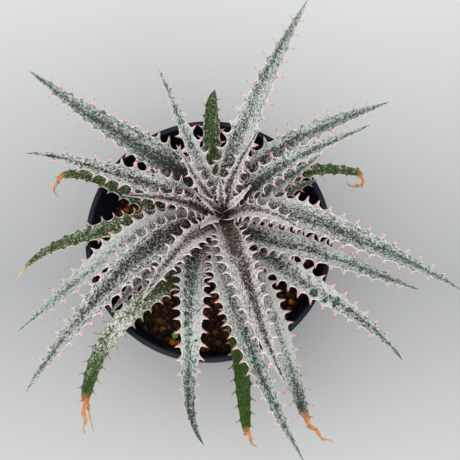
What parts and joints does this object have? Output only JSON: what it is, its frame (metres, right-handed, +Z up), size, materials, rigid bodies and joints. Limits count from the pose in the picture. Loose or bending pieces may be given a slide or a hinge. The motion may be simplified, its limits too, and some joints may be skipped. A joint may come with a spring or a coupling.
{
  "type": "potted dyckia bromeliad",
  "caption": "Spiny silver bromeliad rosette with arching toothed leaves, rooted in granular soil in a round tapered dark plastic nursery pot.",
  "frame": {"origin": "middle of the pot's flat underside, on the surface it stands on", "axes": "+Z up along the pot's axis; the front is seen looking along +Y, with +X to the right; the longest leaf tips reach towards -Y and +X"},
  "size_m": [0.1774, 0.1781, 0.1629],
  "materials": {
    "pot": "satin",
    "soil": "matte",
    "stem": "matte",
    "leaf_green": "satin",
    "leaf_silver": "matte",
    "leaf_young": "matte",
    "seedling": "satin"
  },
  "bodies": {
    "root": {"pot": "pot", "soil": "soil", "stem": "stem", "leaf_01": "leaf_green", "leaf_02": "leaf_green", "leaf_03": "leaf_green", "leaf_04": "leaf_green", "leaf_05": "leaf_green", "leaf_06": "leaf_green", "leaf_07": "leaf_green", "leaf_08": "leaf_silver", "leaf_09": "leaf_silver", "leaf_10": "leaf_silver", "leaf_11": "leaf_silver", "leaf_12": "leaf_silver", "leaf_13": "leaf_silver", "leaf_14": "leaf_silver", "leaf_15": "leaf_silver", "leaf_16": "leaf_silver", "leaf_17": "leaf_silver", "leaf_18": "leaf_silver", "leaf_19": "leaf_silver", "leaf_20": "leaf_silver", "leaf_21": "leaf_silver", "leaf_22": "leaf_silver", "leaf_23": "leaf_young", "leaf_24": "leaf_young", "leaf_25": "leaf_young", "leaf_26": "leaf_young", "leaf_27": "leaf_young", "leaf_28": "leaf_young", "leaf_29": "leaf_young", "leaf_30": "leaf_young", "leaf_31": "leaf_young", "leaf_32": "leaf_young", "leaf_33": "leaf_silver", "seedling": "seedling"}
  },
  "joints": []
}
